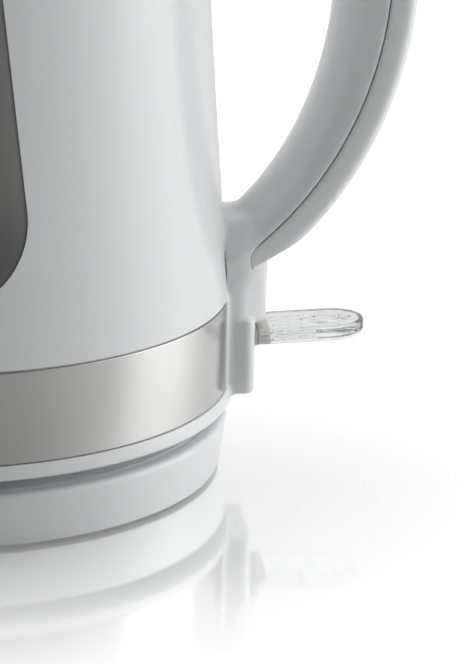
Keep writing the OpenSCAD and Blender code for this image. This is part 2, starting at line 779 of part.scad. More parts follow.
module button_spring() {
  z0 = guide_z + guide_t + fit_gap;
  wire = 0.45;
  turns = 8;
  pitch = (spring_seat_z - fit_gap - z0 - 2 * wire) / (turns - 1);
  color("silver") {
    for (i = [0:turns - 1]) translate([spring_x, 0, z0 + wire + pitch * i])
      rotate_extrude() translate([spring_r - wire, 0]) circle(r = wire, $fn = 24);
    // the coil's rise from turn to turn
    translate([spring_x + spring_r - wire, 0, z0 + wire]) cylinder(r = wire * 0.8, h = pitch * (turns - 1));
  }
}

// The guide stands on the inside of the grip's inner shell, at guide_at degrees round it.
guide_at = 57;
guide_w = 7;
module latch_guide() {
  rib = 2.5;
  foot_w = 3;
  i = on_ellipse(inner_c, inner_a, guide_at);
  s = on_ellipse(seam_c, seam_a, guide_at);
  seat = i + (s - i) / norm(s - i) * (grip_wall + soft_gap);
  x0 = seat[0];
  color("gainsboro") {
    translate([x0, -guide_w, guide_z]) cube([button_x1 - x0 + 3, 2 * guide_w, guide_t]);
    translate([x0, -guide_w, guide_z]) cube([rib, 2 * guide_w, bolt_z0 - soft_gap - guide_z]);
    translate([x0, -foot_w, seat[1]]) cube([rib, 2 * foot_w, guide_z - seat[1] + 0.1]);
  }
}

// ---- Lid and its seat ----
lid_r = rim_r - wall - 1;
lid_edge_z = rim_z + 2;
lid_low_z = rim_z - 3.5;
ear_x = hinge_x - 6;
function dome_z(r) = lid_edge_z + dome_h * (1 - r * r / (lid_r * lid_r));
seat_z0 = rim_z - 7;
seat_t = 3.2;
mouth_r = pan_r + 2;
pan_z = rim_z - 10;
pan_top_z = rim_z - 0.8;
lid_boss_in = 16;
lid_boss_at = pan_r - lid_boss_in;

module lid_seat_ring() {
  r = rim_r - wall - fit_gap - 0.15;
  bed_r = barrel_r + 0.4;
  bed_l = barrel_l + 0.4;
  color("white") difference() {
    union() {
      translate([0, 0, seat_z0]) tube(r, mouth_r, seat_t);
      intersection() {
        translate([0, 0, pan_z - 2]) cylinder(r = r, h = rim_z + 0.6 - pan_z + 2);
        translate([ear_x + soft_gap, -big / 2, 0]) cube([big, big, big]);
      }
    }
    // the barrel's bed, open at the top
    translate([hinge_x, 0, hinge_z]) bar_y(bed_r, 2 * bed_l);
    translate([ear_x - 5, -bed_l, hinge_z]) cube([hinge_x - ear_x + 5 + bed_r, 2 * bed_l, 20]);
    translate([ear_x - 5, -bed_l, pan_z - 5]) cube([5.6, 2 * bed_l, 20]);
    translate([hinge_x, 0, hinge_z]) bar_y(hinge_pin_r, 2 * barrel_l + 9);
    // room for the lid's lower edge, which swings up past the ears
    difference() {
      translate([ear_x - 5, -big / 2, hinge_z]) cube([hinge_x - ear_x + 5, big, 20]);
      translate([hinge_x, 0, hinge_z]) bar_y(hinge_x - ear_x - soft_gap, 2 * big);
    }
    translate([hinge_x, -bolt_w - soft_gap, nose_z0 - soft_gap])
      cube([20, 2 * (bolt_w + soft_gap), nose_t + 2 * soft_gap]);
  }
}

spring_bore_r = 4;
lid_spring_l = 10;
module lid_top() {
  n = 10;
  top = [for (i = [0:n]) let (r = lid_r * i / n) [r, dome_z(r)]];
  under = [for (i = [n:-1:0]) let (r = (lid_r - lid_wall) * i / n) [r, dome_z(r) - lid_wall]];
  color("white") difference() {
    union() {
      difference() {
        union() {
          rotate_extrude() polygon(concat(top, [[lid_r, lid_low_z + 0.4],
            [lid_r - lid_wall, lid_low_z + 0.4]], under));
          at_circle(4, lid_boss_at, 45) translate([0, 0, pan_z + lid_wall + fit_gap])
            cylinder(r = boss_r, h = dome_z(lid_boss_at) - 1 - pan_z - lid_wall);
        }
        translate([hinge_x, -barrel_l, 0]) cube([big, 2 * barrel_l, big]);
        for (s = [0, 1]) mirror([0, s, 0]) translate([ear_x, barrel_l - eps, 0]) cube([big, big, big]);
      }
      translate([hinge_x, 0, hinge_z]) bar_y(barrel_r, 2 * barrel_l);
    }
    at_circle(4, lid_boss_at, 45) translate([0, 0, pan_z]) cylinder(r = screw_r, h = 9);
    translate([hinge_x, 0, hinge_z]) bar_y(hinge_pin_r + run_gap, 2 * barrel_l + 2);
    // the torsion spring's bore, and the catch that the latch's nose drops behind
    translate([hinge_x, barrel_l - lid_spring_l - soft_gap, hinge_z]) rotate([-90, 0, 0])
      cylinder(r = spring_bore_r, h = lid_spring_l + 5);
    translate([hinge_x, -bolt_w - 1, nose_z0 - 1]) cube([barrel_r - 3.4, 2 * bolt_w + 2, nose_t + 1]);
  }
}

module lid_inner() {
  color("white") difference() {
    union() {
      translate([0, 0, pan_z]) cylinder(r = pan_r, h = lid_wall);
      translate([0, 0, pan_z]) tube(pan_r, pan_r - lid_wall, pan_top_z - pan_z);
    }
    translate([hinge_x - barrel_r - 1, -big / 2, 0]) cube([big, big, big]);
    at_circle(4, lid_boss_at, 45) translate([0, 0, pan_z - eps]) cylinder(r = screw_r + fit_gap, h = 4);
    for (i = [-2:2]) translate([-18, 6 * i, pan_z - eps]) cylinder(r = 1.6, h = lid_wall + 1);
  }
}

module lid_seal() {
  color("lightgray") difference() {
    translate([0, 0, pan_z + 2.4]) tube(pan_r + 1.4, pan_r + fit_gap / 2, 2);
    translate([hinge_x - barrel_r - 1, -big / 2, 0]) cube([big, big, big]);
  }
}

module lid_screws() {
  color("silver") at_circle(4, lid_boss_at, 45) translate([0, 0, pan_z - 1.2]) {
    cylinder(r = screw_head_r, h = 1.2 - 0.02);
    cylinder(r = screw_r, h = 8);
  }
}

module lid_hinge_pin() {
  color("silver") translate([hinge_x, 0, hinge_z]) bar_y(hinge_pin_r, 2 * barrel_l + 8);
}

module lid_spring() {
  wire = 0.6;
  turns = 7;
  coil_r = hinge_pin_r + 0.3 + wire;
  y0 = barrel_l - lid_spring_l + wire;
  pitch = 1.15;
  color("silver") translate([hinge_x, 0, hinge_z]) {
    for (i = [0:turns - 1]) translate([0, y0 + 0.3 + pitch * (i + 0.4), 0]) rotate([90, 0, 0])
      rotate_extrude() translate([coil_r, 0]) circle(r = wire, $fn = 24);
    // the fixed leg, which ends against the seat ring's ear
    translate([coil_r, y0 + pitch * (turns - 1), 0]) rotate([-90, 0, 0])
      cylinder(r = wire * 0.9, h = barrel_l + 0.3 - y0 - pitch * (turns - 1));
  }
}

filter_in = 6.5;
filter_x = filter_in - rim_r;
filter_w = 13;
filter_h = 24;
filter_t = 2;
filter_rim = 2.2;
filter_z1 = seat_z0 - fit_gap;
module spout_filter_frame() {
  color("white") translate([filter_x, 0, filter_z1 - filter_h]) difference() {
    translate([0, -filter_w, 0]) cube([filter_t, 2 * filter_w, filter_h]);
    translate([-1, -filter_w + filter_rim, filter_rim])
      cube([filter_t + 2, 2 * (filter_w - filter_rim), filter_h - 2 * filter_rim]);
  }
}

module filter_mesh() {
  inner_w = filter_w - filter_rim - fit_gap;
  inner_h = filter_h - 2 * filter_rim - 2 * fit_gap;
  cells = 5;
  pitch_y = 2 * inner_w / cells;
  pitch_z = inner_h / cells;
  bar = 0.7;
  mesh_t = 0.6;
  z0 = filter_z1 - filter_h + filter_rim + fit_gap;
  color("gainsboro") translate([filter_x + (filter_t - mesh_t) / 2, 0, z0])
    difference() {
      translate([0, -inner_w, 0]) cube([mesh_t, 2 * inner_w, inner_h]);
      for (i = [0:cells - 1], j = [0:cells - 1])
        translate([-1, -inner_w + pitch_y * i + bar / 2, pitch_z * j + bar / 2])
          cube([mesh_t + 2, pitch_y - bar, pitch_z - bar]);
    }
}

base_shell();
base_plate();
foot_ring();
base_screws();
base_connector();
centre_pin();
base_contact_ring();
cord_gland();
connector_socket();
socket_contacts();
body_shell();
water_window_left();
water_window_right();
steel_band();
bottom_cover();
cover_screws();
heater_plate();
plate_seal();
heat_spreader();
heater_element();
thermostat_control();
bimetal_disc();
control_screws();
switch_wires();
handle_frame();
handle_cover();
switch_housing();
housing_screws();
steam_switch();
indicator_led();
steam_tube();
lever_rocker();
switch_lever();
lever_pin();
latch_guide();
latch_bolt();
release_button();
button_spring();
lid_seat_ring();
lid_top();
lid_inner();
lid_seal();
lid_screws();
lid_hinge_pin();
lid_spring();
spout_filter_frame();
filter_mesh();
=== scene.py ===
"""A white cordless jug kettle on its power base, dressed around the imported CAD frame."""
import json
import math

import bmesh
import bpy
import numpy as np
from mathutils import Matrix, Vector


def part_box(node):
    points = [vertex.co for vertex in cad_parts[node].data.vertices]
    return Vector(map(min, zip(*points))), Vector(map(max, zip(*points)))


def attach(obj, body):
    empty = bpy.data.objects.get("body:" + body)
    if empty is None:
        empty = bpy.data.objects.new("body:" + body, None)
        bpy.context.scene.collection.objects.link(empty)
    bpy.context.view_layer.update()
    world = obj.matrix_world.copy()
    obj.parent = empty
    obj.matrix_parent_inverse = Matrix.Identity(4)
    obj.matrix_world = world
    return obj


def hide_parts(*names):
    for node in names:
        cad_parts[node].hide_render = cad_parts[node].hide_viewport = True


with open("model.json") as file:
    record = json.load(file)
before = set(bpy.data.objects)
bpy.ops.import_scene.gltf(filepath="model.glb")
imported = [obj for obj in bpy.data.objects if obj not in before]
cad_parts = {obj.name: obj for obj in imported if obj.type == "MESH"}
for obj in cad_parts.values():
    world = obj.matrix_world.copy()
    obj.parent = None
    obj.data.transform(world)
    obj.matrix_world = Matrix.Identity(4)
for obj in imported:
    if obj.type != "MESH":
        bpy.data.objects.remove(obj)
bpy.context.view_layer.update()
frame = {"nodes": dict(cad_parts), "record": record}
MM = 0.001

# ---------------------------------------------------------------- camera
CAMERA_AT = (-11.53, -841.5, 285.6)      # mm
CAMERA_TURN = (73.408, -1.001, -5.881)   # degrees
FILM = 36                                # mm, along the frame's long side
LENS = 178.29                            # mm


def make_camera():
    cam = bpy.data.objects.new("camera", bpy.data.cameras.new("camera"))
    bpy.context.scene.collection.objects.link(cam)
    cam.location = [v * MM for v in CAMERA_AT]
    cam.rotation_euler = [math.radians(a) for a in CAMERA_TURN]
    cam.data.lens = LENS
    cam.data.sensor_width = FILM
    cam.data.clip_start = 0.01
    bpy.context.scene.camera = cam


# ---------------------------------------------------------------- sizes, in mm
def corner(node, high):
    """The low or high corner of a CAD node's box."""
    return [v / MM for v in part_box(node)[high]]


# from the CAD frame
BAND_R = corner("steel_band", 1)[0]
BAND_Z0, BAND_Z1 = corner("steel_band", 0)[2], corner("steel_band", 1)[2]
RIM_Z = corner("body_shell", 1)[2]
DECK_Z = corner("base_shell", 1)[2]
BASE_TOP_R = corner("base_shell", 1)[0]
FOOT_H = corner("base_shell", 0)[2]
RING_R = corner("bottom_cover", 1)[1]
GRIP_W = corner("handle_frame", 1)[1]
HOUSING_W = corner("switch_housing", 1)[1]
HOUSING_X = corner("switch_housing", 1)[0]
HOUSING_Z0 = corner("switch_housing", 0)[2]

# base and lower ring
BASE_LOW_R = 76.0
BASE_WALL = 2.2
DECK_FILLET = 2.0
DECK_HOLE_R = 17.8
GROOVE_R, GROOVE_HALF, GROOVE_DEPTH = 73.6, 0.8, 0.5
GROOVE_EDGE = 0.4
RING_Z = 19.0
RING_HOLE_R = 23.2
RING_FLOOR = 2.2
PLINTH_R = (62, 66)          # the lip under the ring that reaches down to the base's deck
BAND_T = 0.7
BAND_GAP = 0.22              # shadow line above and below the band

# jug
RIM_R = 67.0
WALL = 2.4
LIP = 0.9                    # height of the rim's round edge
SIDE_BOW = 1.25              # how far the side swells from its chord
SKIRT_GAP = 0.05             # between the band and the skirt that it wraps
SHELF_R, SHELF_Z = 68.5, (40.5, 44.5)        # the inner shelf over the heater plate
WINDOW_LOW = (83.2, 21.6)    # height of the round end's centre, and its radius
WINDOW_TOP = (198.0, 9.0)
WINDOW_CUT, WINDOW_PANE = 0.02, 0.01         # growth of the hole, and of the pane in it
PANE_SINK = 0.12             # how far the pane lies below the side
PANE_EDGE, PANE_EDGE_DROP = 1.2, 0.3         # width and depth of its rounded edge
PANE_BACK = 2.1
SPOUT_TIP = (-85.5, 5.5)     # centre and radius of the spout's end circle
SPOUT_BROW = (-46.0, 23.0)
SPOUT_ROOT = (-54.0, 14.0)
SPOUT_Z = (182.0, 225.0)
SPOUT_FILLET = 3.0

# handle and switch housing
INNER = ((43.0, 133.0), (61.7, 80.0))      # ellipses of the handle's side view: centre, half axes
SEAM = ((29.3, 135.0), (89.0, 95.0))
OUTER = ((36.2, 135.0), (90.0, 100.0))
SEAM_GAP = 0.18              # between the grip's two halves
GRIP_Z0 = 50                 # the grip's halves end in the housing at this height
GRIP_SQUARE = (2.0, 1.8)     # exponents of the section, across and in depth; 2 is round
COVER_SQUARE = (4.5, 4.5)
GRIP_EDGE, COVER_EDGE = 0.9, 0.5           # rounding along the seam
COVER_SLANT = (82.0, 59.1, 0.135)    # a line that ends the cover: a point's x and z, and its slope
COVER_FOOT = (82.7, 53.9, 0.55)
COVER_CLEAR = 0.15           # from the cover to the jug and to its seat
HOUSING_LOW_X = 84.3
HOUSING_STEP_Z = 38.6
STEP_EDGE = 1.2
SADDLE_Z = 67.4
UPPER_CORNER, UPPER_END = 7.0, 4.5         # roundings of the housing's upper post
LOWER_CORNER, LOWER_END = 3.0, 1.0
UPPER_START, LOWER_TOP = 9, 2              # how far each post runs past the step between them
NARROWING, NARROW_Z = 1.7, (48, 66)        # the upper post grows narrower upward
POST_BACK_X = 40             # the housing's posts start well inside the jug
FACET_X = 79.8               # where the housing's near corner starts to turn away
FACET_SHIFT, FACET_Z = 2.4, (47, 56)       # and how far that moves out as it rises
FACET_WAY, FACET_EDGE = (0.6, 0.8), 1.5    # the facet's normal in plan
GRIP_FILLET = 2.5            # where the grip runs into the housing
JUG_FILLET = 0.05            # where the handle meets the jug, and what is added low and high
LOW_FILLET, LOW_FILLET_Z = 2.2, (47, 50)
TOP_FILLET, TOP_FILLET_Z = 1.6, (59, 66)
SKIN_HALF, SKIN_TOP, SKIN_OUT = 19, 221, 0.15        # the strip of jug that the fillets reach
SUNK = 0.6                   # how deep the handle reaches into the jug
ROOT_GAP, ROOT_GAP_Z0, ROOT_GAP_Z1 = 0.7, (50, 52), (59, 61)       # less deep behind its root
TOP_GAP, TOP_GAP_Z = 0.75, (219, 221)                              # and at its upper end
SLOT_X, SLOT_Z0, SLOT_EDGE = (80.2, 99), 29.6, 0.8   # the lever's slot
SLOT_CLEAR = 0.6             # beside the lever
BUTTON_LOW, BUTTON_HIGH = (71.7, -6.8, 190), (87.8, 6.8, 260)     # hole for the release button

# switch lever
LEVER_AT = (82.2, 34.0)      # the pivot's x and z
LEVER_ROOT, LEVER_TIP = 3.1, 32.7    # along the lever, from the pivot
LEVER_W = 9.0
LEVER_T = 2.2
LEVER_TILT = math.radians(2.8)
PAD_U, PAD_R, PAD_DEPTH = 21.3, 4.6, 0.45            # the finger's dish: place, radius, depth
PAD_RING_R, PAD_RING_WIRE = 5.0, 0.35                # the bead round the dish
BUMPS = ((27.2, -2.4), (28.6, 0), (27.2, 2.4), (11.6, -7.2), (11.6, -5.6))     # raised dots
BUMP_R, BUMP_SINK = 0.55, 0.1
RIBS_Y, RIB_R, RIBS_U = (-5.4, -1.8, 1.8, 5.4), 0.7, (8, 20)       # flutes under the blade
NOTCH_U, NOTCH_W, NOTCH_Y = (6.2, 1.7), (0.2, 0.45), 7.6           # slots in the blade's edges
CORE_X, CORE_Y, CORE_Z = (3.4, 6.9), 7.4, (32.6, 35.8)     # the opaque root; x from the pivot

HANDLE_GRID, BLADE_GRID, CORE_GRID = 0.5, 0.3, 0.4
FAR = 1e3                    # stands for nothing there in a field


def bow():
    """Centre and radius of the arc that the jug's side follows."""
    foot, rim = np.array([BAND_R - 0.1, BAND_Z1]), np.array([RIM_R, RIM_Z])
    chord = np.linalg.norm(rim - foot)
    radius = chord ** 2 / (8 * SIDE_BOW) + SIDE_BOW / 2
    out = np.array([rim[1] - foot[1], foot[0] - rim[0]]) / chord
    return (foot + rim) / 2 + out * (radius - SIDE_BOW), radius


BOW_C, BOW_R = bow()


def side(z):
    """Radius of the jug's side at height z."""
    return BOW_C[0] - np.sqrt(BOW_R ** 2 - (np.asarray(z, float) - BOW_C[1]) ** 2)


# ---------------------------------------------------------------- shader nodes
def nodes_of(name):
    mat = bpy.data.materials.new(name)
    mat.use_nodes = True
    tree = mat.node_tree
    return mat, tree, tree.nodes["Principled BSDF"]


def feed(tree, node, inputs):
    """Sets a node's inputs, each to a value or to another node's output."""
    for key, value in inputs.items():
        if isinstance(value, bpy.types.NodeSocket):
            tree.links.new(value, node.inputs[key])
        else:
            node.inputs[key].default_value = value


def add(tree, kind, inputs=None, **props):
    node = tree.nodes.new(kind)
    for key, value in props.items():
        setattr(node, key, value)
    feed(tree, node, inputs or {})
    return node


def noise(tree, where, scale, detail, **more):
    inputs = {"Vector": where, "Scale": scale, "Detail": detail, **more}
    return add(tree, "ShaderNodeTexNoise", inputs).outputs["Fac"]


def shades(tree, factor, low, high):
    """A colour that runs from low to high with the factor."""
    inputs = {"Factor": factor, "A": [*low, 1], "B": high}
    return add(tree, "ShaderNodeMix", inputs, data_type="RGBA").outputs["Result"]


def map_range(tree, value, start, end, **props):
    """Runs over the range end while the value runs over the range start."""
    inputs = {"Value": value, "From Min": start[0], "From Max": start[1],
              "To Min": end[0], "To Max": end[1]}
    return add(tree, "ShaderNodeMapRange", inputs, **props).outputs["Result"]


def calc(tree, operation, a, b):
    return add(tree, "ShaderNodeMath", {0: a, 1: b}, operation=operation).outputs[0]


def shader(tree, kind, **inputs):
    return add(tree, kind, inputs).outputs[0]


def mix_shaders(tree, share, first, second):
    return add(tree, "ShaderNodeMixShader", {0: share, 1: first, 2: second}).outputs[0]


def relief(tree, height, strength, distance):
    inputs = {"Height": height, "Strength": strength, "Distance": distance}
    return add(tree, "ShaderNodeBump", inputs).outputs["Normal"]


def grey(value):
    return (value, value, value, 1)


# ---------------------------------------------------------------- materials
DRIFT, DRIFT_SCALE = 0.015, 22.0     # share by which a plastic's colour drifts, and how fast


def plastic(name, colour, rough=0.28, coat=0.0, grain=900.0, bump=0.012):
    """Moulded plastic: a faint colour drift, and the fine texture of the mould."""
    mat, tree, bsdf = nodes_of(name)
    where = add(tree, "ShaderNodeTexCoord").outputs["Object"]
    drift = noise(tree, where, DRIFT_SCALE, 2.0)
    fine = noise(tree, where, grain, 2.0)
    low = [c * (1 - DRIFT) for c in colour]
    high = [min(c * (1 + DRIFT), 1) for c in colour] + [1]
    feed(tree, bsdf, {
        "Base Color": shades(tree, drift, low, high),
        "Roughness": map_range(tree, fine, (0, 1), (rough * 0.9, rough * 1.1)),
        "Normal": relief(tree, fine, bump, 0.0004),
        "IOR": 1.5,
        "Coat Weight": coat,
        "Coat Roughness": 0.08})
    return mat


def brushed(name, colour, rough=0.3, fineness=2600.0, streak=0.035):
    """Steel with fine lines that run around the axis."""
    mat, tree, bsdf = nodes_of(name)
    where = add(tree, "ShaderNodeTexCoord").outputs["Object"]
    split = add(tree, "ShaderNodeSeparateXYZ", {0: where}).outputs
    turn = calc(tree, "ARCTAN2", split["Y"], split["X"])
    stretched = add(tree, "ShaderNodeCombineXYZ", {
        "X": calc(tree, "MULTIPLY", turn, 0.9),
        "Z": calc(tree, "MULTIPLY", split["Z"], fineness)}).outputs[0]
    lines = noise(tree, stretched, 1.6, 5.0, Roughness=0.75)
    low, high = [c - streak for c in colour], [c + streak for c in colour] + [1]
    feed(tree, bsdf, {
        "Base Color": shades(tree, lines, low, high),
        "Roughness": map_range(tree, lines, (0, 1), (rough - 0.07, rough + 0.09)),
        "Normal": relief(tree, lines, 0.05, 0.0003),
        "Metallic": 1.0})
    return mat


def metal(name, colour, rough):
    """Plain metal with faint handling marks."""
    mat = plastic(name, colour, rough, grain=260.0, bump=0.02)
    mat.node_tree.nodes["Principled BSDF"].inputs["Metallic"].default_value = 1.0
    return mat


def clear(name, colour, rough, transmission=1.0):
    """Clear or tinted plastic."""
    mat = plastic(name, colour, rough, grain=500.0, bump=0.0)
    bsdf = mat.node_tree.nodes["Principled BSDF"]
    bsdf.inputs["Transmission Weight"].default_value = transmission
    bsdf.inputs["IOR"].default_value = 1.49
    return mat


def deepen(mat, low, heights):
    """Turns a material toward the colour low between two heights, from the upper to the lower."""
    tree = mat.node_tree
    bsdf = tree.nodes["Principled BSDF"]
    old = bsdf.inputs["Base Color"].links[0].from_socket
    where = add(tree, "ShaderNodeTexCoord").outputs["Object"]
    height = add(tree, "ShaderNodeSeparateXYZ", {0: where}).outputs["Z"]
    level = map_range(tree, height, heights, (0, 1), interpolation_type="SMOOTHSTEP")
    feed(tree, bsdf, {"Base Color": shades(tree, level, low, old)})
    return mat


WHITE = (0.80, 0.81, 0.815)
WINDOW_TINT, WINDOW_DEEP = (0.30, 0.298, 0.29), (0.16, 0.16, 0.165)
WINDOW_DEEP_Z = (0.068, 0.1)         # metres
M = {
    "white_shell": plastic("white_shell", WHITE, 0.22, coat=0.25),
    "white_base": plastic("white_base", WHITE, 0.3),
    "white_handle": plastic("white_handle", WHITE, 0.24, coat=0.2),
    "lid_white": plastic("lid_white", WHITE, 0.26, coat=0.15),
    "grey_button": plastic("grey_button", (0.42, 0.43, 0.44), 0.35),
    "tinted_window": deepen(clear("tinted_window", WINDOW_TINT, 0.12, 0.3),
                            WINDOW_DEEP, WINDOW_DEEP_Z),
    "clear_lever": clear("clear_lever", (0.84, 0.855, 0.85), 0.03),
    "brushed_band": brushed("brushed_band", (0.54, 0.54, 0.53), 0.17),
    "heater_steel": brushed("heater_steel", (0.55, 0.55, 0.54), 0.35, fineness=900.0),
    "fastener_steel": metal("fastener_steel", (0.62, 0.62, 0.63), 0.25),
    "spreader_aluminium": metal("spreader_aluminium", (0.74, 0.75, 0.76), 0.4),
    "contact_brass": metal("contact_brass", (0.78, 0.57, 0.24), 0.25),
    "dark_plastic": plastic("dark_plastic", (0.035, 0.035, 0.04), 0.5, bump=0.05),
    "ivory_plastic": plastic("ivory_plastic", (0.93, 0.92, 0.88), 0.45),
    "foot_rubber": plastic("foot_rubber", (0.05, 0.05, 0.052), 0.7, bump=0.08),
    "silicone_seal": plastic("silicone_seal", (0.62, 0.63, 0.62), 0.5),
    "wire_insulation": plastic("wire_insulation", (0.40, 0.035, 0.03), 0.55, bump=0.1),
    "led_lens": plastic("led_lens", (0.85, 0.30, 0.06), 0.2),
}


def dress_cad():
    """Gives every carried-over CAD node its slot's material."""
    for row in frame["record"]["subparts"]:
        mesh = frame["nodes"][row["node"]].data
        mat = M[row["material_slot"]]
        if mesh.materials:
            for i in range(len(mesh.materials)):
                mesh.materials[i] = mat
        else:
            mesh.materials.append(mat)


# ---------------------------------------------------------------- mesh tools
def piece(name, verts, faces, body, slot, replaces=(), sharp=35.0):
    """A new mesh piece from points in mm."""
    mesh = bpy.data.meshes.new(name)
    points = (np.asarray(verts, float) * MM).tolist()
    mesh.from_pydata(points, [], [list(map(int, f)) for f in faces])
    obj = bpy.data.objects.new(name, mesh)
    bpy.context.scene.collection.objects.link(obj)
    mesh.materials.append(M[slot])
    finish_mesh(obj, sharp)
    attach(obj, body)
    if replaces:
        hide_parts(*replaces)
    return obj


def finish_mesh(obj, sharp):
    """Outward faces, smooth but for the edges sharper than the angle."""
    bm = bmesh.new()
    bm.from_mesh(obj.data)
    bmesh.ops.recalc_face_normals(bm, faces=bm.faces)
    limit = math.radians(sharp)
    for f in bm.faces:
        f.smooth = True
    for e in bm.edges:
        e.smooth = len(e.link_faces) == 2 and e.calc_face_angle(0) < limit
    bm.to_mesh(obj.data)
    bm.free()


def rounded(points, steps=5):
    """A closed outline from (a, b, radius) corners, each corner replaced by an arc."""
    out = []
    n = len(points)
    for i, (x, y, r) in enumerate(points):
        p = np.array([x, y], float)
        if r <= 0:
            out.append(tuple(p))
            continue
        before = np.array(points[i - 1][:2], float) - p
        after = np.array(points[(i + 1) % n][:2], float) - p
        lb, la = np.linalg.norm(before), np.linalg.norm(after)
        ub, ua = before / lb, after / la
        half = math.acos(max(-1, min(1, float(ub @ ua)))) / 2
        cut = min(r / math.tan(half), lb * 0.49, la * 0.49)
        r = cut * math.tan(half)
        mid = (ub + ua) / np.linalg.norm(ub + ua)
        c = p + mid * (r / math.sin(half))
        a0, a1 = p + ub * cut - c, p + ua * cut - c
        t0, t1 = math.atan2(a0[1], a0[0]), math.atan2(a1[1], a1[0])
        d = (t1 - t0 + math.pi) % (2 * math.pi) - math.pi
        for k in range(steps + 1):
            t = t0 + d * k / steps
            out.append((c[0] + r * math.cos(t), c[1] + r * math.sin(t)))
    return out


def wrapped_faces(rows, cols):
    """Quads of a grid of points, row after row, that closes on itself both ways."""
    faces = []
    for i in range(rows):
        here, after = i * cols, (i + 1) % rows * cols
        for k in range(cols):
            beside = (k + 1) % cols
            faces.append((here + k, here + beside, after + beside, after + k))
    return faces


def lathe(name, outline, body, slot, replaces=(), turns=256):
    """A closed outline of (r, z) turned about the Z axis."""
    prof = np.array(outline)
    a = np.arange(turns) * 2 * math.pi / turns
    verts = np.stack([np.outer(np.cos(a), prof[:, 0]), np.outer(np.sin(a), prof[:, 0]),
                      np.tile(prof[:, 1], (turns, 1))], 2).reshape(-1, 3)
    return piece(name, verts, wrapped_faces(turns, len(prof)), body, slot, replaces)


def cells_beside(edges, others, steps, shape):
    """The grid cells beside some grid edges, and which of them lie in the grid."""
    cell = edges.copy()
    for axis, step in zip(others, steps):
        cell[:, axis] -= step
    return cell, ((cell >= 0) & (cell < shape)).all(1)


def surface_net(field, lo, hi, step):
    """Points and quads of field = 0, one point to each grid cell that it crosses."""
    lo = np.array(lo, float)
    axes = [np.arange(a, b + step, step) for a, b in zip(lo, hi)]
    value = field(*np.meshgrid(*axes, indexing="ij"))
    inside = value < 0
    shape = [len(a) - 1 for a in axes]
    total, count = np.zeros(shape + [3]), np.zeros(shape)
    crossings = []
    for d in range(3):
        s0, s1 = [slice(None)] * 3, [slice(None)] * 3
        s0[d], s1[d] = slice(0, -1), slice(1, None)
        s0, s1 = tuple(s0), tuple(s1)
        edges = np.argwhere(inside[s0] != inside[s1])
        v0, v1 = value[s0][tuple(edges.T)], value[s1][tuple(edges.T)]
        pos = edges.astype(float)
        pos[:, d] += v0 / (v0 - v1)
        others = [k for k in range(3) if k != d]
        crossings.append((d, others, edges, v0 < 0))
        for steps in ((0, 0), (0, 1), (1, 0), (1, 1)):
            cell, ok = cells_beside(edges, others, steps, shape)
            np.add.at(total, tuple(cell[ok].T), pos[ok])
            np.add.at(count, tuple(cell[ok].T), 1)
    used = count > 0
    index = -np.ones(shape, int)
    index[used] = np.arange(used.sum())
    points = lo + step * total[used] / count[used][:, None]
    quads = []
    for d, others, edges, leaving in crossings:
        ring = []
        ok = np.ones(len(edges), bool)
        for steps in ((0, 0), (1, 0), (1, 1), (0, 1)):
            cell, good = cells_beside(edges, others, steps, shape)
            ok &= good
            ring.append(np.where(good, index[tuple(np.clip(cell, 0, np.array(shape) - 1).T)], -1))
        q = np.stack(ring, 1)[ok]
        flip = leaving[ok] ^ (d == 1)
        q[flip] = q[flip][:, ::-1]
        quads.append(q)
    return settle(field, points, step), np.concatenate(quads)


def slope(field, p, h=0.05):
    """The field's gradient at each point."""
    return np.stack([field(*(p + h * e).T) - field(*(p - h * e).T) for e in np.eye(3)], 1) / (2 * h)


def settle(field, p, step):
    """Moves each point onto the surface, by at most 0.6 of a cell."""
    start = p.copy()
    for _ in range(3):
        g = slope(field, p)
        p = p - (field(*p.T) / np.maximum((g ** 2).sum(1), 0.05))[:, None] * g
    move = p - start
    far = np.linalg.norm(move, axis=1)
    return start + move * np.minimum(1, 0.6 * step / np.maximum(far, 1e-9))[:, None]


# ---------------------------------------------------------------- fields: negative inside, in mm
def blend_min(a, b, k):
    """The union of two fields, with a fillet of about k."""
    h = np.clip(0.5 + 0.5 * (b - a) / k, 0, 1)
    return b + (a - b) * h - k * h * (1 - h)


def both(a, b, r):
    """The part inside both fields, its edge rounded to the radius r."""
    inner = np.minimum(np.maximum(a, b) + r, 0)
    return inner + np.hypot(np.maximum(a + r, 0), np.maximum(b + r, 0)) - r


def ramp(v, a, b):
    """0 up to a, 1 from b on, smooth between them."""
    t = np.clip((v - a) / (b - a), 0, 1)
    return t * t * (3 - 2 * t)


def slab_field(x, y, z, lo, hi, r):
    """A box from lo to hi with edges rounded by r."""
    q = [np.abs(v - (a + b) / 2) - (b - a) / 2 + r for v, a, b in zip((x, y, z), lo, hi)]
    out = np.sqrt(sum(np.maximum(v, 0) ** 2 for v in q))
    return out + np.minimum(np.maximum(np.maximum(q[0], q[1]), q[2]), 0) - r


def post_field(x, y, z, x1, w, z0, z1, corner_r, end_r):
    """An upright block that ends at x1, with round corners in plan and round end edges."""
    qx = np.abs(x - (POST_BACK_X + x1) / 2) - (x1 - POST_BACK_X) / 2
    plan = both(qx, np.abs(y) - w, corner_r)
    tall = np.abs(z - (z0 + z1) / 2) - (z1 - z0) / 2
    return both(plan, tall, end_r)


def ellipse_out(x, z, ellipse):
    """About the distance outward from an ellipse in the plane y = 0."""
    (cx, cz), (a, b) = ellipse
    u, v = (x - cx) / a, (z - cz) / b
    q = np.maximum(np.hypot(u, v), 1e-6)
    return (q - 1) * q / np.maximum(np.hypot(u / a, v / b), 1e-9)


def channel_field(y, near, far, w, square):
    """A bar between two curves: near is the depth from its flat side, far from its crown's edge."""
    depth = np.maximum(near + far, 1.0)
    s = np.maximum(near, 0) / depth
    q = (np.abs(y / w) ** square[0] + s ** square[1]) ** (2 / sum(square))
    return (q - 1) * np.minimum(w, depth)


